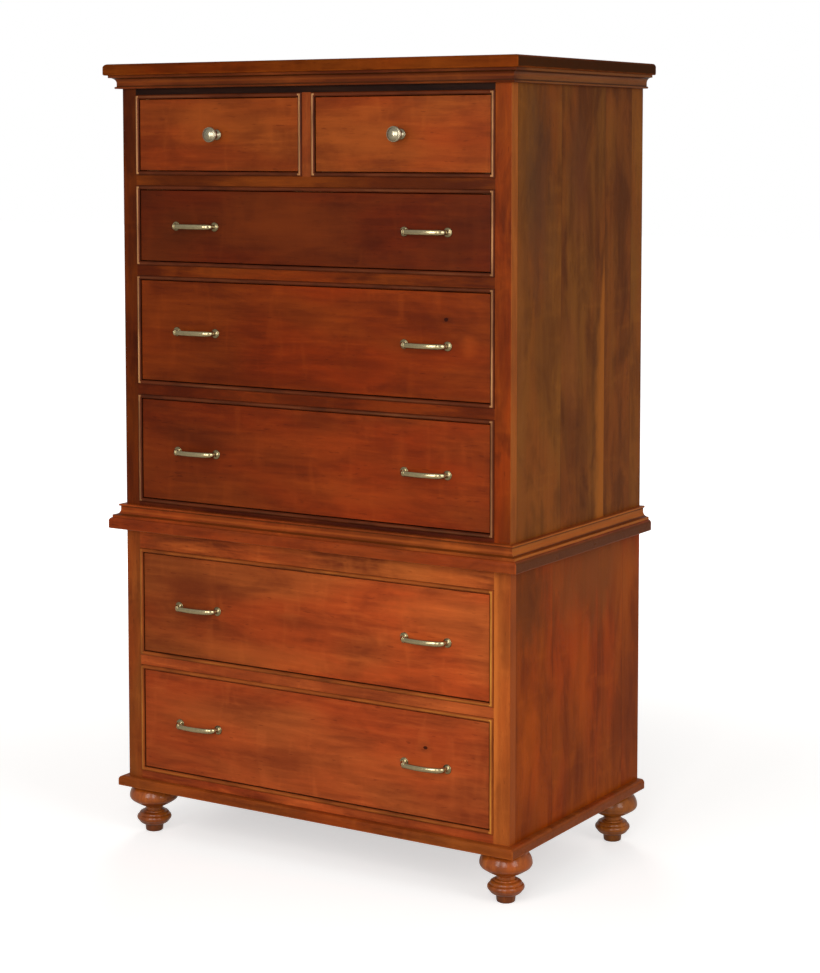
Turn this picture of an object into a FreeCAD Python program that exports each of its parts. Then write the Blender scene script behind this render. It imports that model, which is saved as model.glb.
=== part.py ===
import FreeCAD, Part

import math
import os

# Chest on chest: two stacked cases with seven drawers. Millimetres, +Z up, front towards -Y.
# The origin is on the floor, in the middle of the overall width and depth.

V = FreeCAD.Vector

# ---- overall sizes -------------------------------------------------------------------------------
case_width = 960.0        # both cases, outside
case_depth = 570.0        # both cases, front of the frame to the back
top_overhang = 30.0       # top board past the case, front and sides
waist_overhang = 28.0     # waist board past the case
base_overhang = 17.0      # base board past the case
top_thick = 24.0
waist_thick = 24.5
base_thick = 21.0
foot_height = 108.0

# ---- drawer fronts and the frame around them ------------------------------------------------------
wide_front_height = 214.5     # rows 3 to 6
small_front_height = 150.5    # rows 1 and 2
rail_height = 21.5            # rails between rows
divider_width = 23.0          # between the two drawers of row 1
stile_width = 36.5
stile_easing = 1.5            # rounding of the stiles' outer front edge
frame_thick = 24.0            # stiles, rails and divider
tenon_length = 12.0
tenon_thick = 8.0
bead_thick = 9.0              # cock bead lining each opening
bead_proud = 4.5              # how far its nose stands in front of the frame
front_gap = 1.5               # drawer front to bead, all round
lower_bottom_rail = 17.0
lower_top_rail = 41.0
upper_bottom_rail = 36.0
upper_top_rail = 41.5

# ---- case parts ----------------------------------------------------------------------------------
side_thick = 20.0
back_thick = 8.0
back_rebate = 10.0            # how far the back panel reaches into each side
runner_width = 60.0
guide_height = 22.0
rear_rail_thick = 22.0
subframe_thick = 22.0         # frame under the top board and under the waist board
subframe_front = 40.0
kicker_width = 30.0
centre_width = 90.0           # centre runner of row 1

# ---- drawers -------------------------------------------------------------------------------------
front_thick = 20.0
stop_length = 19.5            # stops between the drawer and the rear rail
drawer_side_thick = 12.0
drawer_bottom_thick = 6.0
drawer_bottom_rise = 12.0     # underside of the bottom above the bottom edge of the side
groove_depth = 5.0
side_drop = 3.0               # top edge of the side below the top edge of the front
box_inset = 1.0               # side of the box inside the end of the front
dovetail_slope = 8.0          # degrees
dovetail_pitch = 38.0         # about one tail for each of these
pin_share = 0.36              # pin width as a share of the pitch
front_easing = 1.2

# ---- clearances ----------------------------------------------------------------------------------
runner_clearance = 0.3        # drawer side above its runner
guide_clearance = 0.5         # drawer side to its guide, each side
kicker_clearance = 1.0        # drawer side below the kicker
stop_clearance = 0.5          # drawer back to its stops
hole_clearance = 0.15         # screw or tenon in its hole, on the radius

# ---- mouldings and edges -------------------------------------------------------------------------
board_top_radius = 8.0
board_bottom_radius = 3.0
base_top_radius = 8.0
base_bottom_radius = 1.5
moulding_height = 28.5
moulding_reach = 22.0         # widest projection, at the board
moulding_fillet = 5.4         # square edge next to the board
cove_radius = 11.0
neck_reach = 8.8
lip_reach = 12.3
lip_height = 4.5

# ---- feet ----------------------------------------------------------------------------------------
foot_bulb_radius = 53.7
foot_top_radius = 43.0
foot_neck_radius = 19.0
foot_collar_radius = 37.5
foot_toe_radius = 15.5
foot_side_inset = 33.0        # foot axis from the side of the case
foot_front_inset = 45.0       # front foot axis from the face of the case
foot_rear_inset = 54.0        # rear foot axis from the back of the case
foot_tenon_radius = 14.0
foot_tenon_length = 18.0

# ---- pulls and knobs -----------------------------------------------------------------------------
pull_centres = 101.6
pull_reach = 31.5             # front of the bar at its middle, from the face of the drawer
pull_bar_height = 11.0
pull_bar_depth = 7.0
pull_bend_radius = 19.5       # centre line of the bends at both ends
pull_bend_rise = 4.5          # centre of the bends in front of the face
pull_bar_start = 8.5          # ends of the bar in front of the face
pull_foot_radius = 9.3
pull_neck_radius = 2.8
pull_side_distance = 194.0    # middle of a pull from the outside of the case
ring_width = 2.0
ring_proud = 0.8
ring_spacing = 3.9            # middle of one ring to the middle of the next
ring_place = 0.90             # middle of a pair of rings, as a share of the way up the bend
knob_radius = 16.0
knob_reach = 36.0
knob_rim = 12.5               # back of the head behind its front
knob_foot_radius = 10.5
knob_neck_radius = 4.8
screw_radius = 2.0
screw_head_radius = 4.2
screw_head_height = 2.6
screw_grip = 5.0              # length of screw inside the metal

# ---- case screws ---------------------------------------------------------------------------------
case_screw_radius = 2.5
case_head_radius = 4.6
case_head_height = 3.0
back_screw_radius = 1.7
back_head_radius = 3.4
back_head_height = 1.7

# ---- levels and planes worked out from the sizes above --------------------------------------------
half_width = case_width / 2
face_y = -case_depth / 2 + top_overhang / 2
back_y = face_y + case_depth
frame_back_y = face_y + frame_thick
panel_y = back_y - back_thick
rear_rail_y = panel_y - rear_rail_thick
stile_inner = half_width - stile_width
side_inner = half_width - side_thick
runner_inner = side_inner - runner_width
drawer_length = rear_rail_y - stop_length - stop_clearance - face_y
edge_to_front = bead_thick + front_gap
front_outer = stile_inner - edge_to_front
front_inner = divider_width / 2 + edge_to_front
row_step = rail_height + 2 * edge_to_front

base_z = foot_height
lower_z = base_z + base_thick
row6_z = lower_z + lower_bottom_rail + edge_to_front
row5_z = row6_z + wide_front_height + row_step
waist_z = row5_z + wide_front_height + edge_to_front + lower_top_rail
upper_z = waist_z + waist_thick
row4_z = upper_z + upper_bottom_rail + edge_to_front
row3_z = row4_z + wide_front_height + row_step
row2_z = row3_z + wide_front_height + row_step
row1_z = row2_z + small_front_height + row_step
top_z = row1_z + small_front_height + edge_to_front + upper_top_rail

# name, left edge, right edge, bottom edge, height of each drawer front
DRAWERS = [
    ("drawer_1_left", -front_outer, -front_inner, row1_z, small_front_height),
    ("drawer_1_right", front_inner, front_outer, row1_z, small_front_height),
    ("drawer_2", -front_outer, front_outer, row2_z, small_front_height),
    ("drawer_3", -front_outer, front_outer, row3_z, wide_front_height),
    ("drawer_4", -front_outer, front_outer, row4_z, wide_front_height),
    ("drawer_5", -front_outer, front_outer, row5_z, wide_front_height),
    ("drawer_6", -front_outer, front_outer, row6_z, wide_front_height),
]


# ---- small helpers -------------------------------------------------------------------------------
def box(x0, x1, y0, y1, z0, z1):
    return Part.makeBox(x1 - x0, y1 - y0, z1 - z0, V(x0, y0, z0))


def rod(radius, length, start, direction):
    return Part.makeCylinder(radius, length, start, direction)


def line(a, b):
    return Part.LineSegment(a, b).toShape()


def arc(a, middle, b):
    return Part.Arc(a, middle, b).toShape()


def closed_face(edges):
    return Part.Face(Part.Wire(edges))


def polygon_face(points):
    return Part.Face(Part.makePolygon(points + [points[0]]))


def mirrored(shape):
    return shape.mirror(V(0, 0, 0), V(1, 0, 0))


def both_sides(shape):
    return [shape, mirrored(shape)]


def cut_all(shape, tools):
    return shape.cut(tools) if tools else shape


def fused(shapes):
    return shapes[0].fuse(shapes[1:]).removeSplitter()


# ---- boards with a rounded edge ------------------------------------------------------------------
def rounded_outline(at, low, high, z0, z1, top_radius, bottom_radius, round_high):
    """Cross-section of a board. at(u, z) places a point; the low end is rounded, the high end if asked."""
    k = 1 - math.sqrt(0.5)
    edges = [line(at(low, z0 + bottom_radius), at(low, z1 - top_radius))]
    edges.append(arc(at(low, z1 - top_radius), at(low + top_radius * k, z1 - top_radius * k),
                     at(low + top_radius, z1)))
    end_top = high - top_radius if round_high else high
    edges.append(line(at(low + top_radius, z1), at(end_top, z1)))
    end_bottom = high - bottom_radius if round_high else high
    if round_high:
        edges.append(arc(at(end_top, z1), at(high - top_radius * k, z1 - top_radius * k),
                         at(high, z1 - top_radius)))
        edges.append(line(at(high, z1 - top_radius), at(high, z0 + bottom_radius)))
        edges.append(arc(at(high, z0 + bottom_radius), at(high - bottom_radius * k, z0 + bottom_radius * k),
                         at(end_bottom, z0)))
    else:
        edges.append(line(at(high, z1), at(high, z0)))
    edges.append(line(at(end_bottom, z0), at(low + bottom_radius, z0)))
    edges.append(arc(at(low + bottom_radius, z0), at(low + bottom_radius * k, z0 + bottom_radius * k),
                     at(low, z0 + bottom_radius)))
    return closed_face(edges)


def rounded_board(overhang, z0, thick, top_radius, bottom_radius):
    """Board rounded along the front and both ends, square along the back, with mitred corners."""
    reach = half_width + overhang
    y0 = face_y - overhang
    long_section = rounded_outline(lambda u, z: V(-reach, u, z), y0, back_y, z0, z0 + thick,
                                   top_radius, bottom_radius, False)
    cross_section = rounded_outline(lambda u, z: V(u, y0, z), -reach, reach, z0, z0 + thick,
                                    top_radius, bottom_radius, True)
    return long_section.extrude(V(2 * reach, 0, 0)).common(cross_section.extrude(V(0, back_y - y0, 0)))


# ---- cornice and waist moulding ------------------------------------------------------------------
def moulding_section(at):
    """Section from the board outwards. at(reach, drop) places a point; drop runs away from the board."""
    k = math.sqrt(0.5)
    cove_bottom = moulding_fillet + cove_radius
    cove_x = neck_reach + cove_radius
    lip_top = moulding_height - lip_height
    lip_flat = lip_reach - lip_height / 2
    return closed_face([
        line(at(0, 0), at(moulding_reach, 0)),
        line(at(moulding_reach, 0), at(moulding_reach, moulding_fillet)),
        line(at(moulding_reach, moulding_fillet), at(cove_x, moulding_fillet)),
        arc(at(cove_x, moulding_fillet), at(cove_x - cove_radius * k, cove_bottom - cove_radius * k),
            at(neck_reach, cove_bottom)),
        line(at(neck_reach, cove_bottom), at(neck_reach, lip_top)),
        line(at(neck_reach, lip_top), at(lip_flat, lip_top)),
        arc(at(lip_flat, lip_top), at(lip_reach, lip_top + lip_height / 2), at(lip_flat, moulding_height)),
        line(at(lip_flat, moulding_height), at(0, moulding_height)),
        line(at(0, moulding_height), at(0, 0)),
    ])


def moulding(board_z, away):
    """Front length and two side lengths, mitred. away is -1 below a board and +1 above one."""
    reach = half_width + moulding_reach
    front_y = face_y - moulding_reach
    low_z = min(board_z, board_z + away * moulding_height)
    front = moulding_section(lambda r, d: V(-reach, face_y - r, board_z + away * d))
    front = front.extrude(V(2 * reach, 0, 0))
    front_plan = polygon_face([V(-half_width, face_y, low_z), V(half_width, face_y, low_z),
                               V(reach, front_y, low_z), V(-reach, front_y, low_z)])
    side = moulding_section(lambda r, d: V(half_width + r, front_y, board_z + away * d))
    side = side.extrude(V(0, back_y - front_y, 0))
    side_plan = polygon_face([V(half_width, face_y, low_z), V(half_width, back_y, low_z),
                              V(reach, back_y, low_z), V(reach, front_y, low_z)])
    up = V(0, 0, moulding_height)
    return [front.common(front_plan.extrude(up))] + both_sides(side.common(side_plan.extrude(up)))


# ---- face frame ----------------------------------------------------------------------------------
def tenon_box(x0, x1, z0, z1, shoulder):
    y0 = face_y + (frame_thick - tenon_thick) / 2
    return box(x0, x1, y0, y0 + tenon_thick, z0 + shoulder, z1 - shoulder)


def rail(z0, z1):
    """Rail between the stiles with a tenon at each end."""
    shoulder = (z1 - z0) / 6
    body = box(-stile_inner, stile_inner, face_y, frame_back_y, z0, z1)
    return fused([body, tenon_box(-stile_inner - tenon_length, stile_inner + tenon_length, z0, z1, shoulder)])


def stiles(z0, z1, rails):
    right = box(stile_inner, half_width, face_y, frame_back_y, z0, z1)
    corner = [e for e in right.Edges if e.CenterOfMass.x > half_width - 1 and e.CenterOfMass.y < face_y + 1
              and abs(e.CenterOfMass.z - (z0 + z1) / 2) < 1]
    return [cut_all(s, rails) for s in both_sides(right.makeFillet(stile_easing, corner))]


def side_panel(z0, z1):
    panel = box(side_inner, half_width, frame_back_y, back_y, z0, z1)
    return panel.cut(box(side_inner, side_inner + back_rebate, panel_y, back_y, z0, z1))


def back_panel(z0, z1):
    return box(-side_inner - back_rebate, side_inner + back_rebate, panel_y, back_y, z0, z1)


def bead_strip(start, end, inward):
    """Strip with a rounded nose along start to end; inward points from the frame into the opening."""
    r = bead_thick / 2
    nose_y = face_y - bead_proud
    def at(y, t):
        return V(start.x + inward.x * t, y, start.z + inward.z * t)
    section = closed_face([
        line(at(frame_back_y, 0), at(nose_y + r, 0)),
        arc(at(nose_y + r, 0), at(nose_y, r), at(nose_y + r, bead_thick)),
        line(at(nose_y + r, bead_thick), at(frame_back_y, bead_thick)),
        line(at(frame_back_y, bead_thick), at(frame_back_y, 0)),
    ])
    run = end - start
    along = V(run)
    along.normalize()
    y0 = nose_y - 1
    low = V(start.x, y0, start.z)
    high = V(end.x, y0, end.z)
    plan = polygon_face([low, high, high - along * bead_thick + inward * bead_thick,
                         low + along * bead_thick + inward * bead_thick])
    return section.extrude(run).common(plan.extrude(V(0, frame_back_y - y0 + 1, 0)))


def bead_frame(left, right, bottom, height):
    """Four mitred strips round one drawer front."""
    x0 = left - edge_to_front
    x1 = right + edge_to_front
    z0 = bottom - edge_to_front
    z1 = bottom + height + edge_to_front
    return [
        bead_strip(V(x0, 0, z0), V(x1, 0, z0), V(0, 0, 1)),
        bead_strip(V(x0, 0, z1), V(x1, 0, z1), V(0, 0, -1)),
        bead_strip(V(x0, 0, z0), V(x0, 0, z1), V(1, 0, 0)),
        bead_strip(V(x1, 0, z0), V(x1, 0, z1), V(-1, 0, 0)),
    ]


# ---- frames inside the cases ---------------------------------------------------------------------
def kicker_level(front_z, height):
    """Underside of what lies over a drawer of this front."""
    return front_z + height - side_drop + kicker_clearance


def runner_level(front_z, z_under, centre):
    """Runners, guides, stops and rear rail that carry one row of drawers."""
    z = front_z - runner_clearance
    box_outer = front_outer - box_inset
    stop_y = face_y + drawer_length + stop_clearance
    guide_x = box_outer + guide_clearance
    right = [
        box(runner_inner, side_inner, frame_back_y, rear_rail_y, z_under, z),
        box(guide_x, side_inner, frame_back_y, rear_rail_y, z, z + guide_height),
        box(runner_inner, guide_x, stop_y, rear_rail_y, z, z + guide_height),
    ]
    solids = [s for shape in right for s in both_sides(shape)]
    solids.append(box(-side_inner, side_inner, rear_rail_y, panel_y, z_under, z))
    if centre:
        half = centre_width / 2
        guide_half = front_inner + box_inset - guide_clearance
        solids.append(box(-half, half, frame_back_y, rear_rail_y, z_under, z))
        solids.append(box(-guide_half, guide_half, frame_back_y, rear_rail_y, z, z + guide_height))
        solids += both_sides(box(guide_half, half, stop_y, rear_rail_y, z, z + guide_height))
    return solids


def subframe(board_z, kicker_z, centre):
    """Frame under a board, with the kickers of the row below it."""
    z = board_z - subframe_thick
    front_y = frame_back_y + subframe_front
    middle_kicker = (front_outer - box_inset) - drawer_side_thick / 2
    solids = both_sides(box(runner_inner, side_inner, frame_back_y, rear_rail_y, z, board_z))
    solids += both_sides(box(middle_kicker - kicker_width / 2, middle_kicker + kicker_width / 2,
                             frame_back_y, rear_rail_y, kicker_z, z))
    solids.append(box(-runner_inner, runner_inner, frame_back_y, front_y, z, board_z))
    solids.append(box(-side_inner, side_inner, rear_rail_y, panel_y, z, board_z))
    if centre:
        half = centre_width / 2
        solids.append(box(-half, half, front_y, rear_rail_y, z, board_z))
        solids.append(box(-half, half, frame_back_y, rear_rail_y, kicker_z, z))
    return solids


# ---- screws in the case --------------------------------------------------------------------------
def case_screw(start, direction, length, radius, head_radius, head_height):
    """Countersunk screw: start is the middle of the head's flat face. Returns the screw and its hole."""
    shaft = rod(radius, length, start, direction)
    head = Part.makeCone(head_radius, radius, head_height, start, direction)
    hole_shaft = rod(radius + hole_clearance, length + hole_clearance, start, direction)
    hole_head = Part.makeCone(head_radius + hole_clearance, radius + hole_clearance, head_height,
                              start, direction)
    return fused([head, shaft]), fused([hole_head, hole_shaft])


def long_screws():
    """Screws up into the top board, through the waist board into the upper case, and into the runners."""
    up = V(0, 0, 1)
    x = (runner_inner + side_inner) / 2 + kicker_width / 2
    rows = [frame_back_y + 100, (frame_back_y + rear_rail_y) / 2, rear_rail_y - 100]
    places = [
        (top_z - subframe_thick, subframe_thick + top_thick * 0.7),
        (waist_z - subframe_thick, subframe_thick + waist_thick + 25),
        (base_z, base_thick + 18),
    ]
    found = []
    for z, length in places:
        for y in rows:
            for side in (-1, 1):
                found.append(case_screw(V(side * x, y, z), up, length,
                                        case_screw_radius, case_head_radius, case_head_height))
    return found


def back_screws():
    """Screws through the back panels into the rear rails."""
    forward = V(0, -1, 0)
    levels = [row6_z - lower_bottom_rail / 2, waist_z - subframe_thick / 2,
              upper_z + upper_bottom_rail / 2, row3_z - row_step / 2, row2_z - row_step / 2,
              row1_z - row_step / 2, top_z - subframe_thick / 2]
    found = []
    for z in levels:
        for x in (-side_inner * 0.9, -side_inner * 0.3, side_inner * 0.3, side_inner * 0.9):
            found.append(case_screw(V(x, back_y, z), forward, back_thick + 14,
                                    back_screw_radius, back_head_radius, back_head_height))
    return found


# ---- feet ----------------------------------------------------------------------------------------
def foot(x, y):
    """Turned foot with a bulb, a narrow neck, a double collar and a tapered toe."""
    def at(r, z):
        return V(x + r, y, foot_height * z / 108)
    toe = foot_toe_radius
    neck = foot_neck_radius
    collar = foot_collar_radius
    bulb = foot_bulb_radius
    top = foot_top_radius
    tenon_top = foot_height + foot_tenon_length
    edges = [
        line(at(0, 0), at(toe, 0)),
        arc(at(toe, 0), at(toe + 2.6, 1.1), at(toe + 3.6, 3.8)),
        line(at(toe + 3.6, 3.8), at(neck + 1.2, 15.4)),
        arc(at(neck + 1.2, 15.4), at(collar - 7.0, 19.6), at(collar - 3.0, 25.2)),
        line(at(collar - 3.0, 25.2), at(collar - 1.4, 26.4)),
        arc(at(collar - 1.4, 26.4), at(collar + 0.2, 31.2), at(collar - 1.8, 36.0)),
        line(at(collar - 1.8, 36.0), at(collar - 4.6, 37.4)),
        arc(at(collar - 4.6, 37.4), at(collar - 5.4, 41.0), at(collar - 9.0, 43.6)),
        line(at(collar - 9.0, 43.6), at(neck + 5.2, 44.2)),
        arc(at(neck + 5.2, 44.2), at(neck + 5.0, 46.2), at(neck + 3.0, 47.2)),
        line(at(neck + 3.0, 47.2), at(neck, 47.8)),
        line(at(neck, 47.8), at(neck, 53.8)),
        arc(at(neck, 53.8), at(neck + 1.2, 55.6), at(neck + 4.4, 56.8)),
        arc(at(neck + 4.4, 56.8), at(neck + 16.2, 62.4), at(bulb - 8.4, 68.8)),
        arc(at(bulb - 8.4, 68.8), at(bulb - 2.4, 73.6), at(bulb, 79.6)),
        arc(at(bulb, 79.6), at(bulb - 2.4, 91.4), at(top + 1.6, 101.5)),
        line(at(top + 1.6, 101.5), at(top, 108)),
        line(at(top, 108), at(foot_tenon_radius, 108)),
        line(at(foot_tenon_radius, 108), V(x + foot_tenon_radius, y, tenon_top)),
        line(V(x + foot_tenon_radius, y, tenon_top), V(x, y, tenon_top)),
        line(V(x, y, tenon_top), at(0, 0)),
    ]
    return closed_face(edges).revolve(V(x, y, 0), V(0, 0, 1), 360)


FEET = {
    "foot_front_left": (-half_width + foot_side_inset, face_y + foot_front_inset),
    "foot_front_right": (half_width - foot_side_inset, face_y + foot_front_inset),
    "foot_rear_left": (-half_width + foot_side_inset, back_y - foot_rear_inset),
    "foot_rear_right": (half_width - foot_side_inset, back_y - foot_rear_inset),
}


# ---- drawers -------------------------------------------------------------------------------------
def tails(x, y_base, y_tip, z0, z1):
    """Dovetails that widen from y_base to y_tip, across one drawer side that starts at x."""
    count = max(2, round((z1 - z0) / dovetail_pitch))
    pitch = (z1 - z0) / count
    half_base = pitch * (1 - pin_share) / 2
    half_tip = half_base + abs(y_tip - y_base) * math.tan(math.radians(dovetail_slope))
    shapes = []
    for i in range(count):
        middle = z0 + pitch * (i + 0.5)
        outline = [V(x, y_base, middle - half_base), V(x, y_base, middle + half_base),
                   V(x, y_tip, middle + half_tip), V(x, y_tip, middle - half_tip)]
        shapes.append(polygon_face(outline).extrude(V(drawer_side_thick, 0, 0)))
    return shapes


def drawer_wood(left, right, z0, height):
    """Front, two sides with a back, and bottom of one drawer."""
    z1 = z0 + height
    side_top = z1 - side_drop
    front_back = face_y + front_thick
    tip_y = front_back - drawer_side_thick
    end_y = face_y + drawer_length
    back_face = end_y - drawer_side_thick
    bottom_z = z0 + drawer_bottom_rise
    bottom_top = bottom_z + drawer_bottom_thick
    starts = [left + box_inset, right - box_inset - drawer_side_thick]

    front = box(left, right, face_y, front_back, z0, z1)
    face_edges = [e for e in front.Edges if abs(e.CenterOfMass.y - face_y) < 0.001]
    front = front.makeFillet(front_easing, face_edges)
    back = box(starts[0], starts[1] + drawer_side_thick, back_face, end_y, bottom_top, side_top)
    bottom = box(starts[0] + drawer_side_thick - groove_depth, starts[1] + groove_depth,
                 front_back - groove_depth, end_y, bottom_z, bottom_top)
    sides = []
    for x in starts:
        front_tails = tails(x, front_back, tip_y, z0, side_top)
        back_tails = tails(x, back_face, end_y, bottom_top, side_top)
        front = front.cut(front_tails)
        back = back.cut(back_tails)
        board = box(x, x + drawer_side_thick, front_back, back_face, z0, side_top)
        foot_piece = box(x, x + drawer_side_thick, back_face, end_y, z0, bottom_top)
        sides.append(fused([board, foot_piece] + front_tails + back_tails).cut(bottom))
    return front.cut(bottom), sides + [back], bottom


def pull_screw(x, z):
    """Screw from the inside of the drawer front into the metal, and its hole through the wood."""
    inside = face_y + front_thick
    shaft = rod(screw_radius, front_thick + screw_grip, V(x, inside, z), V(0, -1, 0))
    head = rod(screw_head_radius, screw_head_height, V(x, inside, z), V(0, 1, 0))
    hole = rod(screw_radius + hole_clearance, front_thick, V(x, inside, z), V(0, -1, 0))
    return fused([shaft, head]), hole


def turned(x, z, points_to_edges):
    """Solid of revolution about a line along Y through x, z; the section comes as (radius, reach) edges."""
    def at(r, reach):
        return V(x + r, face_y - reach, z)
    solid = closed_face(points_to_edges(at)).revolve(V(x, face_y, z), V(0, 1, 0), 360)
    bore = rod(screw_radius + hole_clearance, screw_grip + 1, V(x, face_y, z), V(0, -1, 0))
    return solid.cut(bore)


def oval(middle, along, half_depth, half_height):
    """Outline of an upright oval whose plane is square to the direction along."""
    up = V(0, 0, 1)
    ellipse = Part.Ellipse(middle + up * half_height, middle + along.cross(up) * half_depth, middle)
    return Part.Wire([ellipse.toShape()])


def bar_pull(x, z):
    """Oval bar with two pairs of rings, bowed in the middle and bent back onto two flared posts."""
    half = pull_centres / 2
    bend_x = half - pull_bend_radius
    middle = pull_reach - pull_bar_depth / 2
    rise = middle - pull_bend_rise
    bow_radius = (bend_x ** 2 + rise ** 2 - pull_bend_radius ** 2) / (2 * (rise - pull_bend_radius))
    join = math.atan2(bow_radius - rise, bend_x)
    start = math.asin((pull_bar_start - pull_bend_rise) / pull_bend_radius)

    def at(u, reach):
        return V(x + u, face_y - reach, z)

    def on_bend(side, angle):
        return at(side * (bend_x + pull_bend_radius * math.cos(angle)),
                  pull_bend_rise + pull_bend_radius * math.sin(angle))

    def upward(side, angle):
        return V(-side * math.sin(angle), -math.cos(angle), 0)

    centre_line = Part.Wire([
        arc(on_bend(-1, start), on_bend(-1, (start + join) / 2), on_bend(-1, join)),
        arc(on_bend(-1, join), at(0, middle), on_bend(1, join)),
        arc(on_bend(1, join), on_bend(1, (start + join) / 2), on_bend(1, start)),
    ])
    section = oval(on_bend(-1, start), upward(-1, start), pull_bar_depth / 2, pull_bar_height / 2)
    bar = centre_line.makePipeShell([section], True, True)

    end_radius = pull_bar_height / 2
    end_x = half + pull_neck_radius - end_radius
    outline = closed_face([
        line(V(x - end_x, face_y, z - end_radius), V(x + end_x, face_y, z - end_radius)),
        arc(V(x + end_x, face_y, z - end_radius), V(x + end_x + end_radius, face_y, z),
            V(x + end_x, face_y, z + end_radius)),
        line(V(x + end_x, face_y, z + end_radius), V(x - end_x, face_y, z + end_radius)),
        arc(V(x - end_x, face_y, z + end_radius), V(x - end_x - end_radius, face_y, z),
            V(x - end_x, face_y, z - end_radius)),
    ])
    parts = [bar.common(outline.extrude(V(0, -2 * pull_reach, 0)))]

    ring_step = ring_spacing / pull_bend_radius
    for side in (-1, 1):
        for k in (-0.5, 0.5):
            angle = start + (join - start) * ring_place + k * ring_step
            along = upward(side, angle)
            section = oval(on_bend(side, angle) - along * (ring_width / 2), along,
                           pull_bar_depth / 2 + ring_proud, pull_bar_height / 2 + ring_proud)
            ring = Part.Face(section).extrude(along * ring_width)
            rims = [e for e in ring.Edges if e.Length > pull_bar_height]
            parts.append(ring.makeFillet(ring_proud * 0.8, rims))

    def post(at):
        top = pull_bar_start + 1.4
        return [
            line(at(0, 0), at(pull_foot_radius, 0)),
            arc(at(pull_foot_radius, 0), at(pull_foot_radius + 0.5, 1.1), at(pull_foot_radius - 0.8, 2.2)),
            arc(at(pull_foot_radius - 0.8, 2.2), at(pull_neck_radius + 1.5, 3.7), at(pull_neck_radius, 6.6)),
            arc(at(pull_neck_radius, 6.6), at(pull_neck_radius + 0.2, 8.2), at(pull_neck_radius + 0.8, top)),
            line(at(pull_neck_radius + 0.8, top), at(0, top)),
            line(at(0, top), at(0, 0)),
        ]

    parts += [turned(x - half, z, post), turned(x + half, z, post)]
    return fused(parts)


def knob(x, z):
    """Round knob: a domed head with a groove round its rim, on a neck with a flared foot."""
    def section(at):
        rim = knob_reach - knob_rim
        dome_edge = knob_radius - 2.6
        dome_start = rim + 7.2
        dome_rise = knob_reach - dome_start
        dome_radius = (dome_edge ** 2 + dome_rise ** 2) / (2 * dome_rise)
        a = math.asin(dome_edge / dome_radius) / 2
        return [
            line(at(0, 0), at(knob_foot_radius, 0)),
            arc(at(knob_foot_radius, 0), at(knob_foot_radius + 0.6, 1.4), at(knob_foot_radius - 1.0, 2.8)),
            arc(at(knob_foot_radius - 1.0, 2.8), at(knob_neck_radius + 1.8, 5.8), at(knob_neck_radius, 11.0)),
            line(at(knob_neck_radius, 11.0), at(knob_neck_radius, rim - 6.5)),
            arc(at(knob_neck_radius, rim - 6.5), at(knob_neck_radius + 2.6, rim - 2.4),
                at(knob_radius - 2.8, rim)),
            arc(at(knob_radius - 2.8, rim), at(knob_radius, rim + 1.8), at(knob_radius - 1.2, rim + 3.6)),
            arc(at(knob_radius - 1.2, rim + 3.6), at(knob_radius - 1.7, rim + 3.9),
                at(knob_radius - 1.0, rim + 4.2)),
            arc(at(knob_radius - 1.0, rim + 4.2), at(knob_radius - 0.1, rim + 5.4),
                at(knob_radius - 1.3, rim + 6.6)),
            arc(at(knob_radius - 1.3, rim + 6.6), at(knob_radius - 2.1, rim + 6.7),
                at(dome_edge, dome_start)),
            arc(at(dome_edge, dome_start),
                at(dome_radius * math.sin(a), knob_reach - dome_radius * (1 - math.cos(a))),
                at(0, knob_reach)),
            line(at(0, knob_reach), at(0, 0)),
        ]
    return turned(x, z, section)


def drawer_nodes(name, left, right, z0, height):
    """All four nodes of one drawer, as name: list of solids."""
    front, box_boards, bottom = drawer_wood(left, right, z0, height)
    z = z0 + height / 2
    metal = []
    if name.startswith("drawer_1"):
        screw_places = [(left + right) / 2]
        metal.append(knob(screw_places[0], z))
    else:
        screw_places = []
        for side in (-1, 1):
            x = side * (half_width - pull_side_distance)
            metal.append(bar_pull(x, z))
            screw_places += [x - pull_centres / 2, x + pull_centres / 2]
    for x in screw_places:
        screw, hole = pull_screw(x, z)
        metal.append(screw)
        front = front.cut(hole)
    return {
        name + "_front": [front],
        name + "_box": box_boards,
        name + "_bottom": [bottom],
        name + ("_knob" if name.startswith("drawer_1") else "_pulls"): metal,
    }


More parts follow.
